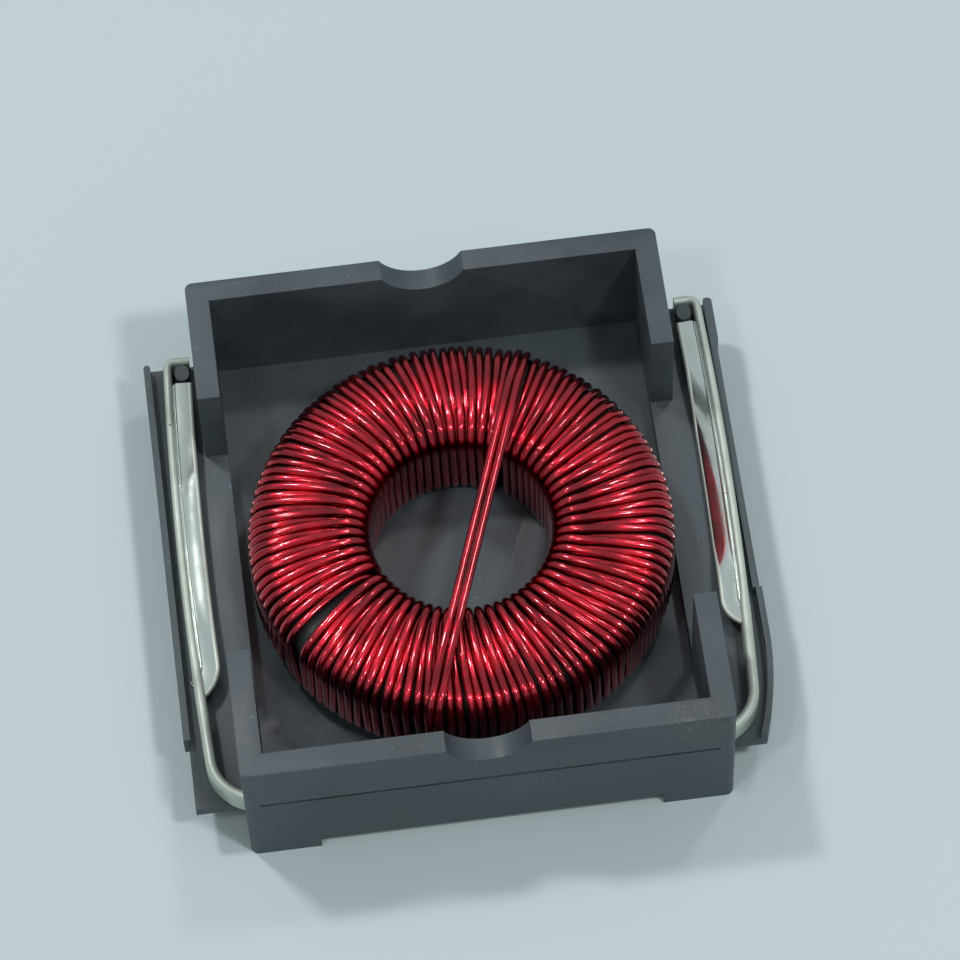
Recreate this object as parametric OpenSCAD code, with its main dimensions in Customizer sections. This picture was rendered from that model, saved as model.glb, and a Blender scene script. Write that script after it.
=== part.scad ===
// Toroidal inductor: a ring core wound with a pair of enamelled wires,
// carried in an open moulded tray with a sprung metal clip along each side.
// Millimetres, +Z up. The origin is the middle of the footprint, level with
// the underside of the feet. The front wall faces -Y.

/* [Core] */
// Outer diameter of the coated ring core
core_od = 26.9; // [25:0.1:29]
// Inner diameter of the coated ring core
core_id = 13.8; // [13:0.1:15]
// Height of the ring core
core_h = 5.3; // [4.5:0.1:7]
// Radius on the edges of the core
core_edge_r = 1.6; // [1.3:0.1:1.8]

/* [Winding] */
// Diameter of the wire over its enamel
wire_d = 0.55; // [0.48:0.01:0.58]
// Turns laid by each of the two wires
turns = 62; // [40:1:64]
// Air left between a wire and what it lies on
wire_gap = 0.02; // [0.01:0.01:0.05]
// Bend radius of a turn over the top edges of the core
bend_top = 1.6; // [1.4:0.05:1.7]
// Bend radius of a turn under the outer edge of the core
bend_low = 1.0; // [0.8:0.05:1.2]
// Extra arc of the core left for the wire ends
exit_arc = 5.5; // [5.4:0.1:10]
// Extra arc where two neighbouring turns have spread apart
spread_arc = 3.5; // [2:0.5:8]
// Turn after which the winding has spread
spread_turn = 37; // [10:1:38]
// Direction of the pair that crosses the hole
cross_a = 250.5; // [248:0.5:253]
// Distance of the crossing pair's middle from the ring's axis
cross_off = 1.31; // [1:0.05:1.6]
// Air between the crossing pair and the turns below it
cross_gap = 0.06; // [0.04:0.01:0.2]

/* [Tray] */
// Room between the winding and each side wall
side_gap = 0.28; // [0.22:0.02:0.6]
// Room between the winding and the front or back wall
end_gap = 2.83; // [2.2:0.01:4]
// Room between the winding's top and the rim
top_gap = 1.92; // [1.5:0.02:4]
// How far the ring sits towards the right wall
ring_x = 0.3; // [0:0.05:0.3]
// How far the ring sits towards the back wall
ring_y = -0.7; // [-1:0.05:0.5]
// Thickness of the four walls
wall_t = 1.5; // [1.3:0.1:2.2]
// Thickness of the floor
floor_t = 1.0; // [0.8:0.1:1.6]
// Radius on the tray's upright corners
corner_r = 0.5; // [0.2:0.1:1]
// Length of the opening in the middle of each side wall
window_l = 18.8; // [16:0.2:20]
// Width of the curved notch in the front and back rims
notch_w = 5.5; // [4:0.1:7]
// Depth of that notch
notch_h = 1.8; // [1.2:0.1:2]
// Height of the moulded line above the feet
line_z = 7; // [6:0.1:8]
// Height of the moulded line's groove
line_h = 0.25; // [0.15:0.05:0.4]
// Depth of the moulded line's groove
line_depth = 0.2; // [0.1:0.05:0.3]
// How far the moulded line stops short of the corners
line_end = 1; // [0.5:0.1:2]
// Height of the corner feet
foot_h = 1.2; // [0.8:0.1:1.6]
// Width of a corner foot
foot_w = 4.6; // [3:0.1:6]
// Depth of a corner foot
foot_d = 4.6; // [3:0.1:6]

/* [Side ledges] */
// Height of the ledge's top above the feet
ledge_z = 3.8; // [3.2:0.1:4.4]
// Thickness of the ledge
ledge_t = 0.8; // [0.6:0.1:1.2]
// Reach of the ledge from the side wall
ledge_w = 3.2; // [3.05:0.05:3.3]
// How far the ledge stops short of the front and back faces
ledge_inset = 1.85; // [1.8:0.05:2.4]
// Height of the rail above the ledge
rail_h = 0.9; // [0.6:0.1:1.2]
// Distance of the rail's inner face from the side wall
rail_in = 3.05; // [3.02:0.01:3.1]
// Distance of the rail's outer face from the side wall
rail_out = 3.5; // [3.4:0.05:3.55]
// Distance of the right rail head's outer face from the side wall
head_out = 3.65; // [3.6:0.05:4]
// Length of that head at the back
head_l = 3.6; // [2:0.1:5]
// How far the left rail stops short of the ledge's front end
left_rail_stop = 4.6; // [3:0.1:6]
// Length of the outer rib at the front of the right ledge
rib_l = 10.6; // [8.4:0.1:12]
// Thickness of that rib
rib_t = 0.4; // [0.35:0.05:0.5]
// Length over which the right ledge's front corner runs in
rib_run = 7.3; // [5:0.1:8]
// How far the right ledge's front corner runs in
rib_in = 1.25; // [0.8:0.05:1.3]
// Width of the lug that the clip hooks around
lug_w = 0.95; // [0.6:0.05:1]
// Depth of that lug
lug_d = 1.2; // [0.9:0.05:1.5]
// Height of that lug above the ledge
lug_h = 1.5; // [1.4:0.1:2.4]

/* [Clips] */
// Thickness of a clip's standing edge
edge_t = 0.55; // [0.45:0.05:0.6]
// Height of that edge
edge_h = 1.68; // [1.5:0.02:2]
// Radius of the long bow that a clip springs to
bow_r = 280; // [220:5:400]
// Distance of the left clip's edge from the side wall where its bow stands furthest out
left_out = 2.3; // [2.2:0.02:2.7]
// Place of that furthest point along the left side
left_apex = 0.5; // [-1:0.5:6.5]
// Distance of the right clip's edge from the side wall where its bow stands furthest out
right_out = 2.69; // [2.3:0.01:2.7]
// Place of that furthest point along the right side
right_apex = 6.5; // [0:0.5:7]
// How far forward the left clip starts its front bend
left_bend = 13.9; // [13.5:0.05:14]
// How far forward the right clip starts its front bend
right_bend = 13.4; // [12.8:0.05:14]
// Radius of the front bend
front_bend_r = 3.2; // [3:0.1:3.5]
// Further turn of the edge's tongue inside the wall
tongue_turn = 10; // [6:1:12]
// Width of a clip's leaf beside its standing edge
leaf_w = 1.33; // [1.2:0.01:1.4]
// Thickness of the leaf
leaf_t = 0.3; // [0.2:0.05:0.35]
// Drop of the leaf's top below the standing edge's
leaf_drop = 0.3; // [0.2:0.05:0.4]
// Radius that the left clip's leaf is rolled to
left_leaf_r = 3.2; // [2:0.1:5]
// Radius that the right clip's leaf is rolled to
right_leaf_r = 1.45; // [1.4:0.05:5]
// Radius of the bead along the leaf's free edge
hem_r = 0.18; // [0.16:0.01:0.2]
// Radius of the crease between the leaf and the standing edge
crease_r = 0.12; // [0.08:0.01:0.14]
// How far forward the left clip's leaf runs before it turns in to the standing edge
left_leaf = 7.3; // [5:0.1:8]
// How far forward the right clip's leaf runs before it turns in to the standing edge
right_leaf = 6.8; // [5:0.1:8]
// Radius of that turn
leaf_turn_r = 2.1; // [2:0.1:2.4]
// Inner bend radius of the hook around the lug
hook_r = 0.3; // [0.2:0.05:0.4]
// Length of the hook's tail
hook_l = 0.9; // [0.4:0.05:0.95]
// Air between the clip and the tray
clip_gap = 0.1; // [0.06:0.02:0.14]
// Air between the lug and the clip's edge
lug_gap = 0.2; // [0.15:0.05:0.25]

/* [Hidden] */
$fn = 64;
eps = 0.01;
plastic = "#23282c";
copper = "#b3122a";
plated = "#d9d8d0";
coating = "#5d6a4f";

// Wire centres, measured from the ring's axis and from its mid-height
lay = wire_d / 2 + wire_gap;
outer_r = core_od / 2 + lay;
inner_r = core_id / 2 - lay;
lay_h = core_h / 2 + lay;
pitch_a = (360 - exit_arc - spread_arc) / turns;
first_a = cross_a - 180 - asin(cross_off / outer_r) - exit_arc + pitch_a / 4;

// The second wire's step in and rise over the first, so that neighbours
// half a pitch apart lie a wire's width from centre to centre
near = wire_d + wire_gap;
function step_at(r) = sqrt(max(0, near * near - pow(2 * r * sin(pitch_a / 4), 2)));
nest_step = step_at(inner_r);
nest_rise = 1.12 * step_at(inner_r + bend_top);
outer_rise = nest_rise / 5;
ring_od = 2 * (outer_r + wire_d / 2);
ring_h = 2 * (lay_h + nest_rise + wire_d / 2);
cross_h = lay_h + nest_rise + wire_d + cross_gap;
cross_bend = bend_top + wire_d + cross_gap;
pair_off = near / 2;
wire_sides = 5;

// The tray's sizes follow from the winding that it holds
inner_w = ring_od + 2 * side_gap;
inner_d = ring_od + 2 * end_gap;
body_w = inner_w + 2 * wall_t;
body_d = inner_d + 2 * wall_t;
floor_z = foot_h + floor_t;
ring_z = floor_z + wire_gap + ring_h / 2;
body_h = floor_z + wire_gap + ring_h + top_gap;
ledge_y = body_d / 2 - ledge_inset;
rib_r = (rib_run * rib_run + rib_in * rib_in) / (2 * rib_in);
notch_r = (notch_w * notch_w / 4 + notch_h * notch_h) / (2 * notch_h);

// Wire ends under the floor, and the slots that let them through
tail_z = foot_h * 0.3;
slot_w = wire_d + 0.35;
slot_l = 2 * wire_d + 0.7;

// Places along a clip, measured from the side wall's outer face
clip_z = ledge_z + wire_gap;
leaf_top = edge_h - leaf_drop;
hook_y = ledge_y - edge_t - hook_r;
lug_y = hook_y + hook_r - clip_gap - lug_d;
hook_thin = 0.03;
leaf_seat = 0.1;

// Turn of a clip's bow at a distance along the side from its furthest point
function lean(d) = asin(d / bow_r);

// Turn of a clip's front bend from the end of its bow to the wall's face
function wall_turn(out, front) =
    acos(cos(lean(front)) - (out - bow_r * (1 - cos(lean(front)))) / front_bend_r) - lean(front);

function polar(r, a, z) = [r * cos(a), r * sin(a), z];

// One turn, from the foot of its outer side: up, inwards over the top,
// down through the hole and back out underneath. level is 0 for the wire
// that lies on the core and 1 for the one that crowds over it at the hole.
function turn_point(j, level) =
    let (ri = inner_r - level * nest_step, hi = lay_h + level * nest_rise,
         k = bend_top * (1 - sqrt(0.5)))
    j == 0 ? [outer_r, bend_low - lay_h] :
    j == 1 ? [outer_r, lay_h - bend_top] :
    j == 2 ? [outer_r - k, lay_h - k] :
    j == 3 ? [outer_r - bend_top, lay_h + level * outer_rise] :
    j == 4 ? [ri + bend_top, hi] :
    j == 5 ? [ri + k, hi - k] :
    j == 6 ? [ri, hi - bend_top] :
    j == 7 ? [ri, -hi] : [outer_r - bend_low, -lay_h];

// Share of one pitch that the wire has gone round the ring at each point
turn_share = [0, 0.02, 0.05, 0.1, 0.62, 0.67, 0.7, 0.76, 0.97];

function turn_angle(i, share, level) =
    first_a - (i + share + level / 2) * pitch_a - (i >= spread_turn ? spread_arc : 0);

// A place on the crossing line: r from the ring's axis, on the far side of
// the hole (side -1) or on the near side (side 1)
function cross_point(side, r, z, level) =
    let (m = cross_off + (2 * level - 1) * pair_off, t = side * sqrt(r * r - m * m))
    [m * sin(cross_a) * -1 + t * cos(cross_a), m * cos(cross_a) + t * sin(cross_a), z];

function corner_point(side, radius, a, level) =
    cross_point(side, outer_r - bend_top + radius * cos(a),
                lay_h - bend_top + radius * sin(a), level);

// Sideways direction of the crossing pair, the radius where it lies on the
// turns, and the radius where it goes down the near side of the ring
cross_side = polar(1, cross_a - 90, 0);
core_r = (core_od + core_id) / 4;
drop_r = outer_r - bend_top + cross_bend;

// The whole route of one wire, each entry a point and the sideways
// direction that keeps the wire's section from twisting
function route(level) = concat(
    [let (a = turn_angle(0, 0, level))
        [polar(outer_r, a, tail_z - ring_z), polar(1, a + 90, 0)]],
    [for (i = [0:turns - 1], j = [0:8])
        let (p = turn_point(j, level), a = turn_angle(i, turn_share[j], level))
        [polar(p[0], a, p[1]), polar(1, a + 90, 0)]],
    [let (a = turn_angle(turns, 0, level))
        [polar(outer_r, a, bend_low - lay_h), polar(1, a + 90, 0)]],
    [for (a = [0:18:90])
        [corner_point(-1, bend_top + (wire_d + cross_gap) * a / 90, a, level), cross_side]],
    [for (side = [-1, 1]) [cross_point(side, core_r, cross_h, level), cross_side]],
    [for (a = [90:-18:0]) [corner_point(1, cross_bend, a, level), cross_side]],
    [[cross_point(1, drop_r, tail_z - ring_z, level), cross_side]]);

function unit(v) = v / norm(v);

// A wire of wire_sides flats along a route
module swept_wire(path) {
    n = len(path);
    sections = [for (i = [0:n - 1])
        let (t = unit(path[min(i + 1, n - 1)][0] - path[max(i - 1, 0)][0]),
             s = unit(path[i][1] - (path[i][1] * t) * t),
             b = cross(t, s))
        for (k = [0:wire_sides - 1])
            let (a = 360 * (k + 0.5) / wire_sides)
            path[i][0] + wire_d / 2 * (cos(a) * s + sin(a) * b)];
    sides = [for (i = [0:n - 2], k = [0:wire_sides - 1], half = [0, 1])
        let (q = (k + 1) % wire_sides, lo = i * wire_sides, hi = lo + wire_sides)
        half == 0 ? [lo + k, hi + k, hi + q] : [lo + k, hi + q, lo + q]];
    first_cap = [for (k = [0:wire_sides - 1]) k];
    last_cap = [for (k = [wire_sides - 1:-1:0]) (n - 1) * wire_sides + k];
    polyhedron(sections, concat([first_cap], sides, [last_cap]));
}

// A flat shape with rounded corners, w wide and d deep
module rounded_rect(w, d, r) {
    square([w - 2 * r, d], center = true);
    square([w, d - 2 * r], center = true);
    for (x = [-1, 1], y = [-1, 1])
        translate([x * (w / 2 - r), y * (d / 2 - r)]) circle(r);
}

// The clip's standing edge in section about its middle, grown by g on every side
module edge_section(g) {
    w = edge_t + 2 * g;
    translate([-w / 2, clip_z - g]) square([w, edge_h + 2 * g - w / 2]);
    translate([0, clip_z + edge_h + g - w / 2]) circle(w / 2);
}

// The clip's rolled leaf in section, from the standing edge to the bead on its free edge
module leaf_section(r) {
    turn = asin((leaf_w - hem_r) / (r - leaf_t / 2));
    translate([-edge_t / 2, clip_z + leaf_top - r]) {
        difference() {
            intersection() {
                difference() {
                    circle(r);
                    circle(r - leaf_t);
                }
                polygon([[0, 0], [leaf_seat, 0], [leaf_seat, r + eps], [-(r + eps) * tan(turn), r + eps]]);
            }
            translate([-0.8 * crease_r, r]) circle(crease_r);
        }
        rotate(turn) translate([0, r - leaf_t / 2]) circle(hem_r);
    }
}

// Puts something on a clip's bow, a distance along the side from its furthest
// point. There X is the distance from the bow's axis and Y runs backwards.
module on_bow(out, apex, along) {
    translate([out - bow_r, apex, 0]) rotate([0, 0, lean(along)]) children();
}

// A section swept along the bow, from where it is put and as far as another turn
module bow(turn) {
    rotate_extrude(angle = turn, $fn = 720) translate([bow_r, 0]) children();
}

// The standing edge's front bend and tongue, grown by g, from the end of the bow
module front_bend(turn, g) {
    translate([bow_r - front_bend_r, 0, 0]) mirror([0, 1, 0])
        rotate_extrude(angle = turn) translate([front_bend_r, 0]) edge_section(g);
}

// The leaf's front end, which turns in to the standing edge
module leaf_end(r) {
    reach = leaf_turn_r - leaf_w - edge_t / 2;
    translate([bow_r + reach, 0, 0]) mirror([0, 1, 0]) mirror([1, 0, 0])
        rotate_extrude(angle = acos(1 - (leaf_w - hem_r / 2) / leaf_turn_r))
            translate([reach, 0]) mirror([1, 0]) leaf_section(r);
}

// The hook around the lug, a little thinner than the edge where it is bent
module hook() {
    r = hook_r + edge_t / 2;
    translate([bow_r - r, 0, 0]) {
        rotate([90, 0, 0]) linear_extrude(hook_r) translate([r, 0]) edge_section(-hook_thin);
        rotate_extrude(angle = 90) translate([r, 0]) edge_section(-hook_thin);
        translate([-hook_l, r, 0]) rotate([90, 0, 90]) linear_extrude(hook_l) edge_section(-hook_thin);
    }
}

// A clip on the right-hand side. Its bow stands furthest out at apex, its front
// bend starts as far forward as bend, and its leaf, rolled to the radius r,
// runs as far forward as leaf_front.
module clip(out, apex, bend, r, leaf_front) {
    back = hook_y - apex;
    front = bend + apex;
    leaf = leaf_front + apex;
    leaf_back = lug_y - clip_gap - apex;
    color(plated) {
        on_bow(out, apex, -front) {
            bow(lean(back) + lean(front)) edge_section(0);
            front_bend(wall_turn(out, front) + tongue_turn, 0);
        }
        on_bow(out, apex, -leaf) {
            bow(lean(leaf_back) + lean(leaf)) leaf_section(r);
            leaf_end(r);
        }
        on_bow(out, apex, back) hook();
    }
}

// The curve along which the right ledge's front corner runs in, cut into at inset
module run_in(inset) {
    translate([head_out - rib_r, rib_run - ledge_y]) circle(rib_r - inset, $fn = 180);
}

// The right ledge's front corner in outline, and the rib that stands along it
module front_corner() {
    intersection() {
        run_in(0);
        translate([0, -ledge_y]) square([head_out, rib_run]);
    }
    translate([0, rib_run - ledge_y]) square([head_out, rib_l - rib_run]);
}

module front_rib() {
    difference() {
        front_corner();
        run_in(rib_t);
        translate([0, rib_run - ledge_y - eps]) square([head_out - rib_t, rib_l - rib_run + 2 * eps]);
    }
}

// The ledge along one side, with its rail and lug, measured from the side wall
module ledge(right) {
    ledge_l = 2 * ledge_y;
    plain_l = right ? ledge_l - rib_l : ledge_l;
    rail_l = right ? plain_l : ledge_l - left_rail_stop;
    rail_w = rail_out - rail_in;
    head_w = head_out - rail_in;
    clip_out = right ? right_out : left_out;
    back = hook_y - (right ? right_apex : left_apex);
    lug_x = clip_out - bow_r * (1 - cos(lean(back))) - edge_t / 2 - lug_gap - lug_w;
    translate([0, 0, ledge_z - ledge_t]) {
        linear_extrude(ledge_t) {
            translate([-wall_t / 2, -ledge_y]) square([wall_t / 2 + eps, ledge_l]);
            translate([0, ledge_y - plain_l]) square([ledge_w, plain_l]);
            if (right) front_corner();
        }
        linear_extrude(ledge_t + rail_h) {
            translate([rail_in, ledge_y - rail_l]) square([rail_w, rail_l - rail_w]);
            translate([rail_in + rail_w / 2, ledge_y - rail_l / 2])
                rounded_rect(rail_w, rail_l, rail_w / 2 - eps);
            if (right) {
                translate([rail_in + head_w / 2, ledge_y - head_l / 2])
                    rounded_rect(head_w, head_l, head_w / 2 - eps);
                front_rib();
            }
        }
        linear_extrude(ledge_t + lug_h)
            translate([lug_x + lug_w / 2, lug_y + lug_d / 2])
                rounded_rect(lug_w, lug_d, lug_w / 2 - eps);
    }
}

// The pocket in the wall that takes a clip's front tongue
module tongue_pocket(out, apex, bend) {
    front = bend + apex;
    intersection() {
        on_bow(out, apex, -front) front_bend(wall_turn(out, front) + tongue_turn + 2, clip_gap);
        translate([-2 * wall_t, -body_d / 2, 0]) cube([2 * wall_t + eps, body_d / 2, body_h]);
    }
}

// Puts something drawn for the right-hand wall on the right or on the left
module on_side(right) {
    mirror([right ? 0 : 1, 0, 0]) translate([body_w / 2, 0, 0]) children();
}

// A slot through the floor for a pair of wire ends, at a place by the ring
module wire_slot(p, a) {
    translate([ring_x + p[0], ring_y + p[1], foot_h - eps])
        rotate([0, 0, a]) translate([-slot_w / 2, -slot_l / 2, 0])
            cube([slot_w, slot_l, floor_t + 2 * eps]);
}

module tray() {
    start_a = turn_angle(0, 0, 0.5);
    finish = (cross_point(1, drop_r, 0, 0) + cross_point(1, drop_r, 0, 1)) / 2;
    color(plastic) difference() {
        union() {
            translate([0, 0, foot_h]) linear_extrude(body_h - foot_h)
                rounded_rect(body_w, body_d, corner_r);
            intersection() {
                linear_extrude(foot_h + eps) rounded_rect(body_w, body_d, corner_r);
                for (x = [-1, 1], y = [-1, 1])
                    translate([x * (body_w - foot_w) / 2, y * (body_d - foot_d) / 2, foot_h / 2])
                        cube([foot_w, foot_d, foot_h + 2 * eps], center = true);
            }
            on_side(true) ledge(true);
            on_side(false) ledge(false);
        }
        translate([-inner_w / 2, -inner_d / 2, floor_z]) cube([inner_w, inner_d, body_h]);
        translate([-body_w / 2 - eps, -window_l / 2, ledge_z])
            cube([body_w + 2 * eps, window_l, body_h]);
        translate([0, body_d, body_h + notch_r - notch_h]) rotate([90, 0, 0])
            cylinder(2 * body_d, notch_r, notch_r);
        for (y = [-1, 1])
            translate([0, y * body_d / 2, line_z])
                cube([body_w - 2 * line_end, 2 * line_depth, line_h], center = true);
        on_side(true) tongue_pocket(right_out, right_apex, right_bend);
        on_side(false) tongue_pocket(left_out, left_apex, left_bend);
        wire_slot(polar(outer_r, start_a, 0), start_a);
        wire_slot(finish, cross_a);
    }
}

module core() {
    w = (core_od - core_id) / 2;
    color(coating) translate([ring_x, ring_y, ring_z]) rotate_extrude($fn = 96)
        translate([core_id / 2 + w / 2, 0]) rounded_rect(w, core_h, core_edge_r);
}

module wire(level) {
    color(copper) translate([ring_x, ring_y, ring_z]) swept_wire(route(level));
}

module wire_a() {
    wire(0);
}

module wire_b() {
    wire(1);
}

module clip_left() {
    on_side(false) clip(left_out, left_apex, left_bend, left_leaf_r, left_leaf);
}

module clip_right() {
    on_side(true) clip(right_out, right_apex, right_bend, right_leaf_r, right_leaf);
}

tray();
core();
wire_a();
wire_b();
clip_left();
clip_right();
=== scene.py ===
"""Looks of a toroidal inductor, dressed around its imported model.

Everything is in metres, in the part's own frame: the ring's axis is upright, the feet stand on z = 0
and the front wall faces -Y. The tray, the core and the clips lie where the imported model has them.
"""

import logging
import math
from dataclasses import dataclass, field
from enum import Enum

import bmesh
import bpy
from mathutils import Matrix, Vector


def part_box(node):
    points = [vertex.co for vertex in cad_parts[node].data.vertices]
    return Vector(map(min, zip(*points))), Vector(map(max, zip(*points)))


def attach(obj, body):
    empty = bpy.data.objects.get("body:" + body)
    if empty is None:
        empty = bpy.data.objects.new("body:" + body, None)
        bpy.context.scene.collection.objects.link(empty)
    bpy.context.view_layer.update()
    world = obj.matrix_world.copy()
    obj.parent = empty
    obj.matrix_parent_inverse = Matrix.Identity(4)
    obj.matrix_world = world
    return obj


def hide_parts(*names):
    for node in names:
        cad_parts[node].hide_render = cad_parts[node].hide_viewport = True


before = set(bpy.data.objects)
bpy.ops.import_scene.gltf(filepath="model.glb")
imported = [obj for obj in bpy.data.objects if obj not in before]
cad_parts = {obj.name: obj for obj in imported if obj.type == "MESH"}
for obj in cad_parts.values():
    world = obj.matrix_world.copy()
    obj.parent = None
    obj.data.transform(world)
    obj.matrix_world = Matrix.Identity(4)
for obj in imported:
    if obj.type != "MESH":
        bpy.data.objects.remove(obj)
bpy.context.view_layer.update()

LOG = logging.getLogger("inductor")
MM = 0.001

# How much each finer layer of a noise pattern counts beside the layer before it
NOISE_ROUGHNESS = 0.55
# Share of a speck's radius at which its rim starts to fade
SPECK_RIM = 0.6

Colour = tuple[float, float, float, float]
Point = tuple[float, float]
Tree = bpy.types.NodeTree
Node = bpy.types.Node
Socket = bpy.types.NodeSocket


class Side(Enum):
    """Side of the tray, as the sign of its X."""

    LEFT = -1
    RIGHT = 1


class Layer(Enum):
    """Layer of a wire where the two of them crowd together at the hole."""

    LOWER = 0
    UPPER = 1


def linear(hex_colour: str) -> Colour:
    """Turns a colour as it is written into a colour as light adds up.

    Args:
        hex_colour: An sRGB colour such as "#c3d1d3".

    Returns:
        Its linear red, green and blue, with an alpha of 1.
    """
    parts = (int(hex_colour[i:i + 2], 16) / 255 for i in (1, 3, 5))
    red, green, blue = (p / 12.92 if p <= 0.04045 else ((p + 0.055) / 1.055) ** 2.4 for p in parts)
    return red, green, blue, 1.0


def per_mm(size: float) -> float:
    """Returns a texture scale whose pattern repeats about every size millimetres."""
    return 1 / (size * MM)


def add_node(tree: Tree, kind: str, inputs: dict | None = None, **settings: object) -> Node:
    """Adds a node, sets it up and links what feeds it.

    Args:
        tree: The node tree that gets the node.
        kind: Blender's name for the kind of node.
        inputs: What each input gets: a value, a socket, or a node, which feeds it by its first
            output. Inputs are called by name or by number, without those that the settings switch off.
        **settings: The node's own properties.

    Returns:
        The new node.
    """
    node = tree.nodes.new(kind)
    for name, value in settings.items():
        setattr(node, name, value)
    numbered = [socket for socket in node.inputs if socket.enabled]
    named = {socket.name: socket for socket in reversed(numbered)}
    for key, value in (inputs or {}).items():
        target = numbered[key] if isinstance(key, int) else named[key]
        if isinstance(value, Node):
            value = next(socket for socket in value.outputs if socket.enabled)
        if isinstance(value, Socket):
            tree.links.new(value, target)
        else:
            target.default_value = value
    return node


def new_tree(name: str) -> tuple[bpy.types.Material, Tree, Socket]:
    """Starts a material on object coordinates.

    Args:
        name: The material's name.

    Returns:
        The material, its empty node tree and the socket of the object coordinates.
    """
    material = bpy.data.materials.new(name)
    material.use_nodes = True
    tree = material.node_tree
    tree.nodes.clear()
    place = add_node(tree, "ShaderNodeTexCoord").outputs["Object"]
    return material, tree, place


def finish_tree(tree: Tree, inputs: dict) -> None:
    """Ends a material's tree in a principled surface with the given inputs."""
    surface = add_node(tree, "ShaderNodeBsdfPrincipled", inputs)
    add_node(tree, "ShaderNodeOutputMaterial", {"Surface": surface})


def layered(tree: Tree, ground: str, *layers: tuple[Node, str]) -> Node:
    """Lays colours over a ground colour, one after another.

    Args:
        tree: The node tree.
        ground: The lowest colour.
        *layers: The share from 0 to 1 and the colour of each layer, from the lowest up.

    Returns:
        The node of the finished colour.
    """
    base = linear(ground)
    for share, colour in layers:
        base = add_node(tree, "ShaderNodeMix", {0: share, 1: base, 2: linear(colour)}, data_type="RGBA")
    return base


def specks(tree: Tree, place: Socket, spacing: float, radius: float) -> Node:
    """Scatters round specks with soft rims.

    Args:
        tree: The node tree.
        place: The socket of the coordinates.
        spacing: Distance from speck to speck in millimetres.
        radius: Radius of the largest specks in millimetres.

    Returns:
        A node that gives 1 inside a speck and 0 outside.
    """
    cells = add_node(tree, "ShaderNodeTexVoronoi", {"Vector": place, "Scale": per_mm(spacing)})
    rim = radius / spacing
    return add_node(tree, "ShaderNodeMapRange", {
        "Value": cells, "From Min": SPECK_RIM * rim, "From Max": rim, "To Min": 1.0, "To Max": 0.0})


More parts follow.
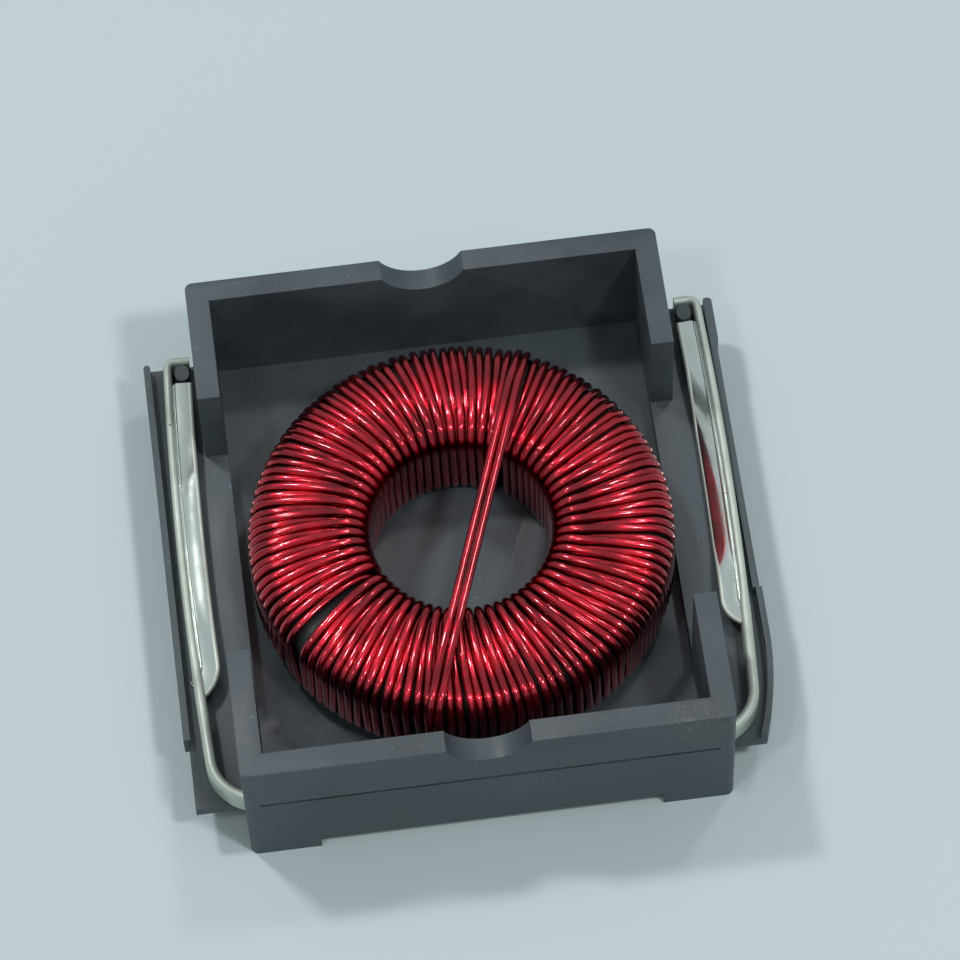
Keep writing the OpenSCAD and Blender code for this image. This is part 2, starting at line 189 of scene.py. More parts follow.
@dataclass(frozen=True)
class MouldedPlastic:
    """Black glass-filled nylon, injection moulded: a satin skin that shows scratches and pale dust."""

    name: str = "black_moulded_nylon"
    body: str = "#333c42"
    worn: str = "#434e54"
    dust: str = "#a9b4b5"
    soil: str = "#6d6354"
    ior: float = 1.53
    roughness: tuple[float, float] = (0.38, 0.58)
    cloud_mm: float = 5.0
    # Fine spark-eroded grain of the mould, drawn coarser than the real 0.03 mm so that it shows
    grain_mm: float = 0.09
    grain_depth_mm: float = 0.02
    grain_strength: float = 0.25
    # Two sets of scratches: their directions in degrees, the tilt in radians that keeps them off the
    # axes, their width, how much longer than wide they are and how strongly they show
    scratch_turns: tuple[float, float] = (28.0, -57.0)
    scratch_tilt: tuple[float, float] = (0.2, 0.1)
    scratch_mm: float = 0.14
    scratch_stretch: float = 11.0
    scratch_share: float = 0.14
    speck_mm: float = 0.035
    speck_spacing_mm: float = 0.8
    # Where crumbs of soil stick to the front right corner, how far they reach and how large they are
    soil_at: tuple[float, float, float] = (13.3 * MM, -18.2 * MM, 10.4 * MM)
    soil_mm: float = 2.8
    soil_share: float = 0.75
    crumb_mm: float = 0.3

    def material(self) -> bpy.types.Material:
        """Builds the material.

        Returns:
            The moulded plastic, with its grain, scratches, dust and soil.
        """
        material, tree, place = new_tree(self.name)
        cloud = add_node(tree, "ShaderNodeTexNoise", {
            "Vector": place, "Scale": per_mm(self.cloud_mm), "Detail": 4.0, "Roughness": NOISE_ROUGHNESS})
        wear = add_node(tree, "ShaderNodeMapRange", {"Value": cloud, "From Min": 0.35, "From Max": 0.7})
        scratched = self.scratches(tree, place)
        faint = add_node(tree, "ShaderNodeMapRange", {"Value": scratched, "To Max": self.scratch_share})
        base = layered(tree, self.body, (wear, self.worn), (faint, self.dust),
                       (self.dusty(tree, place, cloud), self.dust), (self.soiled(tree, place), self.soil))
        grain = add_node(tree, "ShaderNodeTexNoise", {
            "Vector": place, "Scale": per_mm(self.grain_mm), "Detail": 1.0, "Roughness": NOISE_ROUGHNESS})
        height = add_node(tree, "ShaderNodeMath", {0: grain, 1: scratched}, operation="SUBTRACT")
        bump = add_node(tree, "ShaderNodeBump", {
            "Strength": self.grain_strength, "Distance": self.grain_depth_mm * MM, "Height": height})
        smooth_at, rough_at = self.roughness
        sheen = add_node(tree, "ShaderNodeMapRange", {
            "Value": cloud, "From Min": 0.3, "From Max": 0.7, "To Min": smooth_at, "To Max": rough_at})
        finish_tree(tree, {"Base Color": base, "Roughness": sheen, "IOR": self.ior, "Normal": bump})
        return material

    def dusty(self, tree: Tree, place: Socket, cloud: Node) -> Node:
        """Returns the node of the dust's share: fine specks, more of them in some areas."""
        thick = add_node(tree, "ShaderNodeMapRange", {"Value": cloud, "From Min": 0.4, "From Max": 0.6})
        dots = specks(tree, place, self.speck_spacing_mm, self.speck_mm)
        return add_node(tree, "ShaderNodeMath", {0: dots, 1: thick}, operation="MULTIPLY")

    def soiled(self, tree: Tree, place: Socket) -> Node:
        """Returns the node of the soil's share, broken up into crumbs around one corner."""
        away = add_node(tree, "ShaderNodeVectorMath", {0: place, 1: self.soil_at}, operation="DISTANCE")
        reach = add_node(tree, "ShaderNodeMapRange", {
            "Value": away, "From Max": self.soil_mm * MM, "To Min": self.soil_share, "To Max": 0.0})
        lumps = add_node(tree, "ShaderNodeTexNoise", {
            "Vector": place, "Scale": per_mm(self.crumb_mm), "Detail": 4.0, "Roughness": NOISE_ROUGHNESS})
        crumbs = add_node(tree, "ShaderNodeMapRange", {"Value": lumps, "From Min": 0.5, "From Max": 0.62})
        return add_node(tree, "ShaderNodeMath", {0: reach, 1: crumbs}, operation="MULTIPLY")

    def scratches(self, tree: Tree, place: Socket) -> Node:
        """Returns the node of two sets of fine handling scratches, 1 on a scratch."""
        sets = []
        for turn in self.scratch_turns:
            stretched = add_node(tree, "ShaderNodeMapping", {
                "Vector": place, "Rotation": (*self.scratch_tilt, math.radians(turn)),
                "Scale": (1.0, self.scratch_stretch, 1.0)}, vector_type="TEXTURE")
            lines = add_node(tree, "ShaderNodeTexNoise", {
                "Vector": stretched, "Scale": per_mm(self.scratch_mm), "Detail": 1.0,
                "Roughness": NOISE_ROUGHNESS})
            sets.append(add_node(tree, "ShaderNodeMapRange", {
                "Value": lines, "From Min": 0.73, "From Max": 0.78}))
        return add_node(tree, "ShaderNodeMath", {0: sets[0], 1: sets[1]}, operation="MAXIMUM")


@dataclass(frozen=True)
class EnamelledCopper:
    """Magnet wire: bright copper under a clear red polyurethane enamel, which shines through it."""

    name: str = "red_enamelled_copper"
    deep: str = "#921020"
    light: str = "#c81c32"
    patch_mm: float = 2.2
    roughness: tuple[float, float] = (0.16, 0.27)
    coat_weight: float = 0.9
    coat_roughness: float = 0.05
    coat_ior: float = 1.5

    def material(self) -> bpy.types.Material:
        """Builds the material.

        Returns:
            Metal tinted by the enamel, under a clear coat.
        """
        material, tree, place = new_tree(self.name)
        patch = add_node(tree, "ShaderNodeTexNoise", {
            "Vector": place, "Scale": per_mm(self.patch_mm), "Detail": 3.0, "Roughness": NOISE_ROUGHNESS})
        thin = add_node(tree, "ShaderNodeMapRange", {"Value": patch, "From Min": 0.35, "From Max": 0.65})
        smooth_at, rough_at = self.roughness
        sheen = add_node(tree, "ShaderNodeMapRange", {
            "Value": patch, "From Min": 0.3, "From Max": 0.7, "To Min": smooth_at, "To Max": rough_at})
        finish_tree(tree, {
            "Base Color": layered(tree, self.deep, (thin, self.light)), "Metallic": 1.0,
            "Roughness": sheen, "Coat Weight": self.coat_weight, "Coat Roughness": self.coat_roughness,
            "Coat IOR": self.coat_ior})
        return material


@dataclass(frozen=True)
class TinPlate:
    """Bright tin plate on a formed spring strip: a pale cool mirror under a thin dull film from handling."""

    name: str = "bright_tin_plate"
    bright: str = "#dbe4e0"
    dull: str = "#bbc4bb"
    dirt: str = "#6a5a3c"
    metal: float = 0.98
    # Roughness of the clean plate, and what the film adds to it where it is thickest
    roughness: float = 0.11
    film_roughness: float = 0.18
    cloud_mm: float = 3.0
    spot_mm: float = 0.11
    spot_spacing_mm: float = 1.7
    # Shallow waves that forming leaves in the strip
    wave_mm: float = 1.6
    wave_depth_mm: float = 0.03
    wave_strength: float = 0.5

    def material(self) -> bpy.types.Material:
        """Builds the material.

        Returns:
            The plate, with cloudy patches and a few brown spots of dirt.
        """
        material, tree, place = new_tree(self.name)
        cloud = add_node(tree, "ShaderNodeTexNoise", {
            "Vector": place, "Scale": per_mm(self.cloud_mm), "Detail": 4.0, "Roughness": NOISE_ROUGHNESS})
        film = add_node(tree, "ShaderNodeMapRange", {"Value": cloud, "From Min": 0.4, "From Max": 0.75})
        where = add_node(tree, "ShaderNodeMapRange", {"Value": cloud, "From Min": 0.46, "From Max": 0.52})
        spots = specks(tree, place, self.spot_spacing_mm, self.spot_mm)
        dirty = add_node(tree, "ShaderNodeMath", {0: spots, 1: where}, operation="MULTIPLY")
        bare = add_node(tree, "ShaderNodeMapRange", {"Value": dirty, "To Min": self.metal, "To Max": 0.0})
        sheen = add_node(tree, "ShaderNodeMapRange", {
            "Value": cloud, "From Min": 0.3, "From Max": 0.75, "To Min": self.roughness,
            "To Max": self.roughness + self.film_roughness})
        wave = add_node(tree, "ShaderNodeTexNoise", {
            "Vector": place, "Scale": per_mm(self.wave_mm), "Detail": 1.0, "Roughness": NOISE_ROUGHNESS})
        bump = add_node(tree, "ShaderNodeBump", {
            "Strength": self.wave_strength, "Distance": self.wave_depth_mm * MM, "Height": wave})
        finish_tree(tree, {
            "Base Color": layered(tree, self.bright, (film, self.dull), (dirty, self.dirt)),
            "Metallic": bare, "Roughness": sheen, "Normal": bump})
        return material


@dataclass(frozen=True)
class CoreCoating:
    """Dark epoxy coat on a pressed iron powder ring: dull and slightly pitted."""

    name: str = "epoxy_core_coat"
    coat: str = "#191d1f"
    ior: float = 1.5
    roughness: tuple[float, float] = (0.45, 0.65)
    pit_mm: float = 0.25
    pit_depth_mm: float = 0.03
    pit_strength: float = 0.4

    def material(self) -> bpy.types.Material:
        """Builds the material.

        Returns:
            The coat, with its pits.
        """
        material, tree, place = new_tree(self.name)
        pits = add_node(tree, "ShaderNodeTexNoise", {
            "Vector": place, "Scale": per_mm(self.pit_mm), "Detail": 2.0, "Roughness": NOISE_ROUGHNESS})
        bump = add_node(tree, "ShaderNodeBump", {
            "Strength": self.pit_strength, "Distance": self.pit_depth_mm * MM, "Height": pits})
        smooth_at, rough_at = self.roughness
        sheen = add_node(tree, "ShaderNodeMapRange", {
            "Value": pits, "From Min": 0.3, "From Max": 0.7, "To Min": smooth_at, "To Max": rough_at})
        finish_tree(tree, {
            "Base Color": linear(self.coat), "Roughness": sheen, "IOR": self.ior, "Normal": bump})
        return material


@dataclass(frozen=True)
class Backdrop:
    """Matt paper sheet that the part stands on: a pale cool grey without a sheen."""

    name: str = "pale_paper"
    sheet: str = "#c3d1d3"
    roughness: float = 0.9
    specular: float = 0.1

    def material(self) -> bpy.types.Material:
        """Returns the sheet as a material."""
        material, tree, _ = new_tree(self.name)
        finish_tree(tree, {
            "Base Color": linear(self.sheet), "Roughness": self.roughness,
            "Specular IOR Level": self.specular})
        return material


def new_piece(name: str, mesh: bmesh.types.BMesh, materials: list[bpy.types.Material],
              replaced: str, sharp_angle: float) -> None:
    """Makes a finished bmesh a piece of the part.

    Args:
        name: The piece's name.
        mesh: The piece's shape, with its place in it. It is freed.
        materials: The piece's materials, the main one first.
        replaced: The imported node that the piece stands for.
        sharp_angle: Angle in degrees above which an edge stays sharp.
    """
    data = bpy.data.meshes.new(name)
    mesh.to_mesh(data)
    mesh.free()
    dress(data, name, materials, replaced, sharp_angle)


def dress(data: bpy.types.Mesh, name: str, materials: list[bpy.types.Material],
          replaced: str, sharp_angle: float) -> None:
    """Smooths a mesh, gives it its materials and makes it a piece of the part.

    Args:
        data: The mesh.
        name: The piece's name.
        materials: The piece's materials, the main one first.
        replaced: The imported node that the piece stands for.
        sharp_angle: Angle in degrees above which an edge stays sharp.
    """
    data.shade_smooth()
    data.set_sharp_from_angle(angle=math.radians(sharp_angle))
    for material in materials:
        data.materials.append(material)
    piece = bpy.data.objects.new(name, data)
    bpy.context.scene.collection.objects.link(piece)
    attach(piece, "root")
    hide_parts(replaced)
    LOG.info("%s: %d faces for %s", name, len(data.polygons), replaced)


def arc(middle: Point, radius: float, start: float, end: float, steps: int) -> list[Point]:
    """Lays points on an arc, both ends included.

    Args:
        middle: The arc's middle.
        radius: Its radius.
        start: Its first direction in degrees.
        end: Its last direction in degrees.
        steps: Number of steps from the first to the last.

    Returns:
        The points in order.
    """
    angles = [math.radians(start + (end - start) * step / steps) for step in range(steps + 1)]
    return [(middle[0] + radius * math.cos(a), middle[1] + radius * math.sin(a)) for a in angles]


def turned(angle: float, radius: float) -> Matrix:
    """Returns a turn about the upright axis, of something that stands a radius away from it."""
    return Matrix.Rotation(angle, 4, "Z") @ Matrix.Translation((radius, 0, 0))


def smooth(share: float) -> float:
    """Returns a share eased in and out, held between 0 and 1."""
    held = min(1.0, max(0.0, share))
    return held * held * (3 - 2 * held)


def skin(mesh: bmesh.types.BMesh, rings: list[list[Vector]]) -> list[bmesh.types.BMFace]:
    """Covers a row of closed outlines that have the same number of points, and closes both ends.

    Args:
        mesh: The mesh that gets the solid.
        rings: The outlines in their places, from the first end to the last.

    Returns:
        The solid's faces.
    """
    loops = []
    for ring in rings:
        corners = [mesh.verts.new(point) for point in ring]
        loops.append([mesh.edges.new(pair) for pair in zip(corners, corners[1:] + corners[:1])])
    faces = []
    for before, after in zip(loops, loops[1:]):
        faces += bmesh.ops.bridge_loops(mesh, edges=before + after)["faces"]
    for end in (loops[0], loops[-1]):
        faces += bmesh.ops.contextual_create(mesh, geom=end)["faces"]
    return faces


class RingCore:
    """The ring core. Only slits of it show between the turns, so it stays as it is packed."""

    def build(self, coat: bpy.types.Material) -> None:
        """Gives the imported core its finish.

        Args:
            coat: The finish.
        """
        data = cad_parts["core"].data
        data.materials.clear()
        data.materials.append(coat)
        LOG.info("core: as packed, in %s", coat.name)


@dataclass
class Winding:
    """The two wires of the coil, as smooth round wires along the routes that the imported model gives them.

    The core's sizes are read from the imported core. The others repeat the part's own values.
    """

    wire_d: float = 0.55 * MM
    gap: float = 0.02 * MM
    turns: int = 62
    bend_top: float = 1.6 * MM
    bend_low: float = 1.0 * MM
    exit_arc: float = 5.5
    spread_arc: float = 3.5
    spread_turn: int = 37
    # Direction in degrees of the crossing pair, its distance from the ring's axis, its gap over the
    # turns, and the distances from the axis at which it lies straight
    cross_a: float = 250.5
    cross_off: float = 1.31 * MM
    cross_gap: float = 0.06 * MM
    cross_stops: tuple[float, float] = (10.2 * MM, 7.5 * MM)
    # Height of the wires' ends, and the height under which they are tinned
    tail_z: float = 0.36 * MM
    tinned_z: float = 1.2 * MM
    # How the upper wire clears the lower one over the hole, and the share of that at the outer bend
    nest_share: float = 1.12
    outer_share: float = 0.2
    # Share of the pitch at the start and at the end of each bend of a turn
    top_out: tuple[float, float] = (0.0, 0.10)
    top_in: tuple[float, float] = (0.62, 0.70)
    low_in: tuple[float, float] = (0.76, 0.80)
    low_out: tuple[float, float] = (0.95, 1.0)
    # Springy wire doesn't lie flat on the core: it crosses the top as a shallow arch, and each turn
    # leans a little differently from the next. A wave of the lean is its strength, its step from wire
    # to wire in radians and its start. The first and the last turns don't lean
    arch_turn: float = 12.0
    sway: float = 0.2 * MM
    sway_waves: tuple[tuple[float, float, float], ...] = ((1.0, 0.37, 0.0), (0.3, 2.3, 1.0))
    still_turns: int = 3
    arc_steps: int = 7
    # Gives the wire twelve sides, which look round where they turn by less than crisp_turn degrees
    bevel_steps: int = 4
    crisp_turn: float = 60.0
    centre: Vector = field(default_factory=Vector)
    outer_r: float = 0.0
    inner_r: float = 0.0
    lay_h: float = 0.0

    def __post_init__(self) -> None:
        """Reads the core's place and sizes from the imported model."""
        low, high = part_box("core")
        self.centre = (low + high) / 2
        lay = self.wire_d / 2 + self.gap
        hole_r = min((v.co - self.centre).xy.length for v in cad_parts["core"].data.vertices)
        self.outer_r = (high.x - low.x) / 2 + lay
        self.inner_r = hole_r - lay
        self.lay_h = (high.z - low.z) / 2 + lay

    @property
    def near(self) -> float:
        """Distance between the middles of two wires that lie side by side."""
        return self.wire_d + self.gap

    @property
    def pitch(self) -> float:
        """Degrees from one turn of a wire to its next."""
        return (360 - self.exit_arc - self.spread_arc) / self.turns

    @property
    def first_a(self) -> float:
        """Direction of the first turn of the lower wire, in degrees."""
        pair = self.cross_a - 180 - math.degrees(math.asin(self.cross_off / self.outer_r))
        return pair - self.exit_arc + self.pitch / 4

    @property
    def cross_lift(self) -> float:
        """Distance of the crossing pair from the turns under it, from middle to middle."""
        return self.wire_d + self.cross_gap

    @property
    def arch_h(self) -> float:
        """Height of the arch over the ends of its chord."""
        ease = math.radians(self.arch_turn)
        half = (self.outer_r - self.inner_r) / 2 - self.bend_top * (1 - math.sin(ease))
        return half * math.tan(ease / 2)

    def step_at(self, radius: float) -> float:
        """Returns how far the upper wire clears the lower one at a radius."""
        chord = 2 * radius * math.sin(math.radians(self.pitch / 4))
        return math.sqrt(max(0.0, self.near ** 2 - chord ** 2))

    def polar(self, radius: float, angle: float, height: float) -> Vector:
        """Returns a point by its radius, its direction in degrees and its height over the ring's middle."""
        turn = math.radians(angle)
        return self.centre + Vector((radius * math.cos(turn), radius * math.sin(turn), height))

    def turn_outline(self, layer: Layer) -> list[tuple[float, float, float]]:
        """Lays out one turn round the core's section.

        Args:
            layer: The wire's layer.

        Returns:
            The share of the pitch, the radius and the height of each point, from the foot of the
            outer side, over the top, down the hole and back out underneath.
        """
        rise = layer.value * self.nest_share * self.step_at(self.inner_r + self.bend_top)
        inner = self.inner_r - layer.value * self.step_at(self.inner_r)
        high = self.lay_h + rise
        ease = math.radians(self.arch_turn)
        outline = self.corner(
            (self.outer_r - self.bend_top, self.lay_h - self.bend_top + self.outer_share * rise),
            self.bend_top, (0, 90 - self.arch_turn), self.top_out)
        start = outline[-1]
        end = (self.top_in[0], inner + self.bend_top * (1 - math.sin(ease)),
               high - self.bend_top * (1 - math.cos(ease)))
        for step in range(1, self.arc_steps):
            part = step / self.arc_steps
            share, radius, height = (a + (b - a) * part for a, b in zip(start, end))
            outline.append((share, radius, height + self.arch_h * 4 * part * (1 - part)))
        outline += self.corner((inner + self.bend_top, high - self.bend_top), self.bend_top,
                               (90 + self.arch_turn, 180), self.top_in)
        outline += self.corner((inner + self.bend_low, self.bend_low - high), self.bend_low,
                               (180, 270), self.low_in)
        outline += self.corner((self.outer_r - self.bend_low, self.bend_low - self.lay_h), self.bend_low,
                               (270, 360), self.low_out)
        return outline

    def corner(self, middle: Point, bend: float, turn: Point, share: Point,
               ) -> list[tuple[float, float, float]]:
        """Lays out one bend of a turn.

        Args:
            middle: The bend's middle, as radius and height.
            bend: Its own radius.
            turn: Its first and last direction in degrees.
            share: The share of the pitch at its start and at its end.

        Returns:
            The share, the radius and the height of each point.
        """
        points = arc(middle, bend, *turn, self.arc_steps)
        return [(share[0] + (share[1] - share[0]) * step / self.arc_steps, *point)
                for step, point in enumerate(points)]

    def lean(self, turn: int, radius: float, layer: Layer) -> float:
        """Returns how far a turn leans to the side at a radius, in degrees. It doesn't at the hole."""
        wire = 2 * turn + layer.value
        wave = sum(strength * math.sin(step * wire + start) for strength, step, start in self.sway_waves)
        outward = max(0.0, (radius - self.inner_r) / (self.outer_r - self.inner_r))
        held = min(1.0, turn / self.still_turns, (self.turns - 1 - turn) / self.still_turns)
        return math.degrees(self.sway * wave * outward ** 2 * held / self.outer_r)

    def turn_angle(self, turn: int, share: float, layer: Layer) -> float:
        """Returns the direction of a wire in degrees, a share of the way through one of its turns."""
        spread = self.spread_arc if turn >= self.spread_turn else 0.0
        return self.first_a - (turn + share + layer.value / 2) * self.pitch - spread

    def cross_point(self, side: int, radius: float, height: float, layer: Layer) -> Vector:
        """Lays out a point of the crossing pair.

        Args:
            side: -1 beyond the hole, 1 on its near side.
            radius: Distance from the ring's axis.
            height: Height over the ring's middle.
            layer: The wire's layer.

        Returns:
            The point.
        """
        offset = self.cross_off + (2 * layer.value - 1) * self.near / 2
        along = side * math.sqrt(radius ** 2 - offset ** 2)
        turn = math.radians(self.cross_a)
        sideways = Vector((-math.sin(turn), math.cos(turn), 0))
        forward = Vector((math.cos(turn), math.sin(turn), 0))
        return self.centre + sideways * offset + forward * along + Vector((0, 0, height))

    def shoulder_point(self, side: int, bend: float, angle: float, layer: Layer) -> Vector:
        """Returns a point of the crossing pair where it bends over the ring's outer edge."""
        turn = math.radians(angle)
        radius = self.outer_r - self.bend_top + bend * math.cos(turn)
        return self.cross_point(side, radius, self.lay_h - self.bend_top + bend * math.sin(turn), layer)

    def crossing(self, layer: Layer) -> list[Vector]:
        """Returns the route of a wire's finish, over the ring and down through the floor."""
        crowd = self.nest_share * self.step_at(self.inner_r + self.bend_top)
        top = self.lay_h + crowd + self.cross_lift + self.arch_h
        parts = [step / self.arc_steps for step in range(self.arc_steps + 1)]
        foot = self.turn_angle(self.turns, 0, layer)
        route = [self.polar(self.outer_r, foot, self.bend_low - self.lay_h)]
        route += [self.shoulder_point(-1, self.bend_top + self.cross_lift * part, 90 * part, layer)
                  for part in parts]
        route += [self.cross_point(-1, radius, top, layer) for radius in self.cross_stops]
        route += [self.cross_point(1, radius, top, layer) for radius in reversed(self.cross_stops)]
        route += [self.shoulder_point(1, self.bend_top + self.cross_lift, 90 * (1 - part), layer)
                  for part in parts]
        drop_r = self.outer_r + self.cross_lift
        return [*route, self.cross_point(1, drop_r, self.tail_z - self.centre.z, layer)]

    def route(self, layer: Layer) -> list[Vector]:
        """Lays out a whole wire.

        Args:
            layer: The wire's layer.

        Returns:
            Its points in order, from its start under the floor to its finish.
        """
        start = self.turn_angle(0, 0, layer)
        points = [self.polar(self.outer_r, start, self.tail_z - self.centre.z)]
        outline = self.turn_outline(layer)
        for turn in range(self.turns):
            for share, radius, height in outline:
                angle = self.turn_angle(turn, share, layer) + self.lean(turn, radius, layer)
                points.append(self.polar(radius, angle, height))
        return points + self.crossing(layer)

    def build(self, layer: Layer, node: str, finishes: list[bpy.types.Material]) -> None:
        """Draws a wire as a round tube and makes it a piece.

        Args:
            layer: The wire's layer.
            node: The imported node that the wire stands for.
            finishes: The finish of the wire and that of its bare ends under the floor.
        """
        curve = bpy.data.curves.new(f"{node}_route", "CURVE")
        curve.dimensions = "3D"
        curve.bevel_depth = self.wire_d / 2
        curve.bevel_resolution = self.bevel_steps
        curve.use_fill_caps = True
        route = self.route(layer)
        spline = curve.splines.new("POLY")
        spline.points.add(len(route) - 1)
        for point, place in zip(spline.points, route):
            point.co = (*place, 1)
        drawn = bpy.data.objects.new(curve.name, curve)
        data = bpy.data.meshes.new_from_object(drawn)
        bpy.data.objects.remove(drawn)
        bpy.data.curves.remove(curve)
        data.name = f"{node}_round"
        dress(data, data.name, finishes, node, self.crisp_turn)
        for face in data.polygons:
            face.material_index = int(face.center.z < self.tinned_z)


@dataclass
class Tray:
    """The moulded tray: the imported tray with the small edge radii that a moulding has."""

    edge_r: float = 0.09 * MM
    edge_steps: int = 2
    # Vertices closer than this are one, faces that turn by less than flat_turn degrees are one, an
    # edge that turns by more than edge_turn gets its radius, and one by more than crisp_turn stays sharp
    weld: float = 0.001 * MM
    flat_turn: float = 0.6
    edge_turn: float = 30.0
    crisp_turn: float = 25.0

    def build(self, plastic: bpy.types.Material) -> None:
        """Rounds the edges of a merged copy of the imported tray.

        Args:
            plastic: The tray's finish.
        """
        mesh = bmesh.new()
        mesh.from_mesh(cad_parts["tray"].data)
        bmesh.ops.remove_doubles(mesh, verts=mesh.verts, dist=self.weld)
        bmesh.ops.dissolve_limit(mesh, angle_limit=math.radians(self.flat_turn), verts=mesh.verts,
                                 edges=mesh.edges)
        least = math.radians(self.edge_turn)
        sharp = [e for e in mesh.edges if len(e.link_faces) == 2 and e.calc_face_angle() > least]
        bmesh.ops.bevel(mesh, geom=sharp, offset=self.edge_r, offset_type="OFFSET", affect="EDGES",
                        segments=self.edge_steps, profile=0.5, material=-1, clamp_overlap=True)
        new_piece("tray_moulding", mesh, [plastic], "tray", self.crisp_turn)


@dataclass(frozen=True)
class Spring:
    """How a clip lies in its ledge, which differs from one side to the other.

    Attributes:
        out: Distance of the edge from the side wall where its bow stands furthest out.
        apex: Place of that point along the side.
        bend: How far forward the front bend starts.
        slopes: Slopes in degrees of the leaf at its root and at its free edge, in its middle.
        flat_slopes: The same two slopes at its ends.
        leaf_front: How far forward the leaf runs before it turns in to the edge.
        turn_r: Radius of that turn.
    """

    out: float
    apex: float
    bend: float
    slopes: tuple[float, float]
    flat_slopes: tuple[float, float]
    leaf_front: float
    turn_r: float


SPRINGS = {
    Side.LEFT: Spring(
        out=2.3 * MM, apex=0.5 * MM, bend=13.9 * MM, slopes=(0.0, 24.0), flat_slopes=(-5.0, 5.0),
        leaf_front=6.8 * MM, turn_r=3.0 * MM),
    Side.RIGHT: Spring(
        out=2.69 * MM, apex=6.5 * MM, bend=13.4 * MM, slopes=(17.0, 54.0), flat_slopes=(-4.0, 7.0),
        leaf_front=6.8 * MM, turn_r=2.1 * MM),
}


@dataclass
class SideClip:
    """A plated strip clip: a standing edge sprung to a long bow, with a leaf rolled down towards the coil.

    Distances across are measured from the side wall's outer face, as the part has them. An outline is
    drawn about the middle of the standing edge, and is swept by the places that it takes one after another.
    """

    side: Side
    spring: Spring
    wall_x: float = 15.8 * MM
    low_z: float = 3.82 * MM
    bow_r: float = 280 * MM
    bend_r: float = 3.2 * MM
    tongue_turn: float = 10.0
    hook_y: float = 15.65 * MM
    hook_r: float = 0.3 * MM
    hook_l: float = 0.9 * MM
    edge_t: float = 0.55 * MM
    edge_h: float = 1.68 * MM
    ease: float = 0.06 * MM
    leaf_w: float = 1.33 * MM
    leaf_t: float = 0.3 * MM
    leaf_drop: float = 0.3 * MM
    leaf_seat: float = 0.1 * MM
    leaf_back: float = 14.55 * MM
    hem_r: float = 0.18 * MM
    # The crease at the leaf's root: its radius, its first and last direction in degrees, and in radii
    # how far its middle stands off the edge and how far it reaches along the leaf
    crease_r: float = 0.12 * MM
    crease_turn: Point = (20.0, -175.0)
    crease_off: float = 0.8
    crease_reach: float = 1.9
    # The leaf's flat stretch at each end, and the stretch after it over which the leaf rolls down
    flat_front: float = 1.2 * MM
    rolling_front: float = 3.6 * MM
    flat_back: float = 2.8 * MM
    rolling_back: float = 6.5 * MM
    # What the plain stretch in front of the leaf is thicker by, how far behind the leaf's front end
    # that starts and the stretch over which it grows
    thicker: float = 0.16 * MM
    thicker_lead: float = 0.6 * MM
    thicker_run: float = 1.6 * MM
    top_steps: int = 14
    crease_steps: int = 6
    leaf_steps: int = 18
    bead_sides: int = 18
    bend_steps: int = 20
    bow_steps: int = 30
    hook_steps: int = 10
    turn_steps: int = 16
    run_steps: int = 24
    # Edges of the strip that turn by more degrees than this stay sharp
    crisp_turn: float = 35.0

    @property
    def node(self) -> str:
        """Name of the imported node."""
        return f"clip_{self.side.name.lower()}"

    def edge_outline(self, forward: float) -> list[Vector]:
        """Draws the standing edge's outline, round at the top.

        Args:
            forward: How much of the strip's own thickness shows, from 0 where the leaf has drawn it thin
                to 1 on the plain stretch in front of the leaf.

        Returns:
            The outline's points.
        """
        half = self.edge_t / 2 + forward * self.thicker / 2
        shift = forward * (self.ease - self.thicker) / 2
        top = self.low_z + self.edge_h
        points = [(-half + self.ease, self.low_z), (half - self.ease, self.low_z),
                  (half, self.low_z + self.ease)]
        points += arc((0, top - half), half, 0, 180, self.top_steps)
        points.append((-half, self.low_z + self.ease))
        return [Vector((x + shift, 0, z)) for x, z in points]

    def leaf_outlines(self, rolled: float) -> tuple[list[Vector], list[Vector]]:
        """Draws the leaf's outline, with the crease at its root, and that of the bead on its free edge.

        Args:
            rolled: How far the leaf is rolled down, from 0 at its flatter ends to 1 in its middle.

        Returns:
            The points of the two outlines.
        """
        lean, turn = (math.radians(flat + (steep - flat) * rolled)
                      for flat, steep in zip(self.spring.flat_slopes, self.spring.slopes))
        middle_r = (self.leaf_w - self.hem_r) / (math.sin(turn) - math.sin(lean))
        radius = middle_r + self.leaf_t / 2
        top = self.low_z + self.edge_h - self.leaf_drop
        root = -self.edge_t / 2
        middle = (root + middle_r * math.sin(lean), top - radius * math.cos(lean))
        start = 90 + math.degrees(lean)
        end = 90 + math.degrees(turn)
        crease = 90 + math.degrees(lean + self.crease_reach * self.crease_r / radius)
        leaf = [(root + self.leaf_seat, top)]
        leaf += arc((root - self.crease_off * self.crease_r, top), self.crease_r, *self.crease_turn,
                    self.crease_steps)
        leaf += arc(middle, radius, crease, end, self.leaf_steps)
        leaf += arc(middle, radius - self.leaf_t, end, start, self.leaf_steps)
        leaf.append((root + self.leaf_seat, top - self.leaf_t))
        hem = (middle[0] - middle_r * math.sin(turn), middle[1] + middle_r * math.cos(turn))
        side = 360 / self.bead_sides
        bead = arc(hem, self.hem_r, 0, 360 - side, self.bead_sides - 1)
        return [Vector((x, 0, z)) for x, z in leaf], [Vector((x, 0, z)) for x, z in bead]

    def on_bow(self, along: float) -> Matrix:
        """Returns the turn of the bow at a distance along the side from its furthest point."""
        return (Matrix.Translation((self.spring.out - self.bow_r, self.spring.apex, 0))
                @ Matrix.Rotation(math.asin(along / self.bow_r), 4, "Z"))

    def bow(self, front: float, back: float, steps: int) -> list[Matrix]:
        """Returns places from front to back, both measured along the side from the bow's furthest point."""
        out = Matrix.Translation((self.bow_r, 0, 0))
        return [self.on_bow(front + (back - front) * step / steps) @ out for step in range(steps + 1)]

